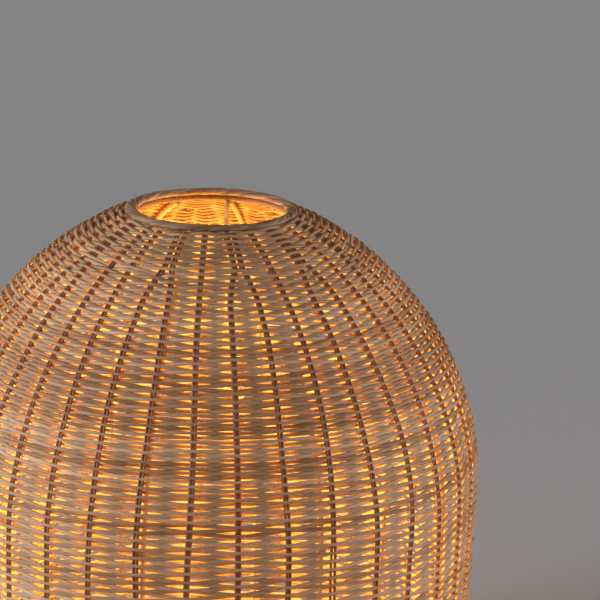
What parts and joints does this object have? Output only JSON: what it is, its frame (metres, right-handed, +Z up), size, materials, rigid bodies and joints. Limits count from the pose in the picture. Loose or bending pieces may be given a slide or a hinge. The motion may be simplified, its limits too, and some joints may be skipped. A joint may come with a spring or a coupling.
{
  "type": "lamp shade",
  "caption": "Cloche lamp shade of rattan woven over paired stakes, with a round mouth at the top, an open underside and a recessed spider fitter inside.",
  "frame": {"origin": "on the shade's axis, at the underside of the lower border", "axes": "+Z is up along the axis, from the open underside to the mouth; -Y is the front"},
  "size_m": [0.46, 0.46, 0.47],
  "materials": {
    "weaver_cane": "peeled round rattan core, dry and unvarnished",
    "stake_cane": "peeled rattan core, darker in the shade of the weave",
    "border_cane": "flat cane wound round the edge, satin",
    "rib_cane": "pale peeled rattan rod",
    "frame_wire": "cream painted steel wire, satin",
    "fitter_plate": "cream painted steel plate, satin"
  },
  "bodies": {
    "root": {"woven_wall": "weaver_cane", "stake_pair_01": "stake_cane", "stake_pair_02": "stake_cane", "stake_pair_03": "stake_cane", "stake_pair_04": "stake_cane", "stake_pair_05": "stake_cane", "stake_pair_06": "stake_cane", "stake_pair_07": "stake_cane", "stake_pair_08": "stake_cane", "stake_pair_09": "stake_cane", "stake_pair_10": "stake_cane", "stake_pair_11": "stake_cane", "stake_pair_12": "stake_cane", "stake_pair_13": "stake_cane", "stake_pair_14": "stake_cane", "stake_pair_15": "stake_cane", "stake_pair_16": "stake_cane", "stake_pair_17": "stake_cane", "stake_pair_18": "stake_cane", "stake_pair_19": "stake_cane", "stake_pair_20": "stake_cane", "stake_pair_21": "stake_cane", "stake_pair_22": "stake_cane", "stake_pair_23": "stake_cane", "stake_pair_24": "stake_cane", "stake_pair_25": "stake_cane", "stake_pair_26": "stake_cane", "stake_pair_27": "stake_cane", "stake_pair_28": "stake_cane", "stake_pair_29": "stake_cane", "stake_pair_30": "stake_cane", "stake_pair_31": "stake_cane", "stake_pair_32": "stake_cane", "stake_pair_33": "stake_cane", "stake_pair_34": "stake_cane", "stake_pair_35": "stake_cane", "stake_pair_36": "stake_cane", "stake_pair_37": "stake_cane", "mouth_border": "border_cane", "lower_border": "border_cane", "rib_01": "rib_cane", "rib_02": "rib_cane", "rib_03": "rib_cane", "rib_04": "rib_cane", "rib_05": "rib_cane", "rib_06": "rib_cane", "rib_07": "rib_cane", "rib_08": "rib_cane", "rib_09": "rib_cane", "rib_10": "rib_cane", "mouth_ring": "frame_wire", "lower_ring": "frame_wire", "shoulder_hoop": "frame_wire", "waist_hoop": "frame_wire", "fitter_plate": "fitter_plate", "spider_arm_1": "frame_wire", "spider_arm_2": "frame_wire", "spider_arm_3": "frame_wire"}
  },
  "joints": []
}
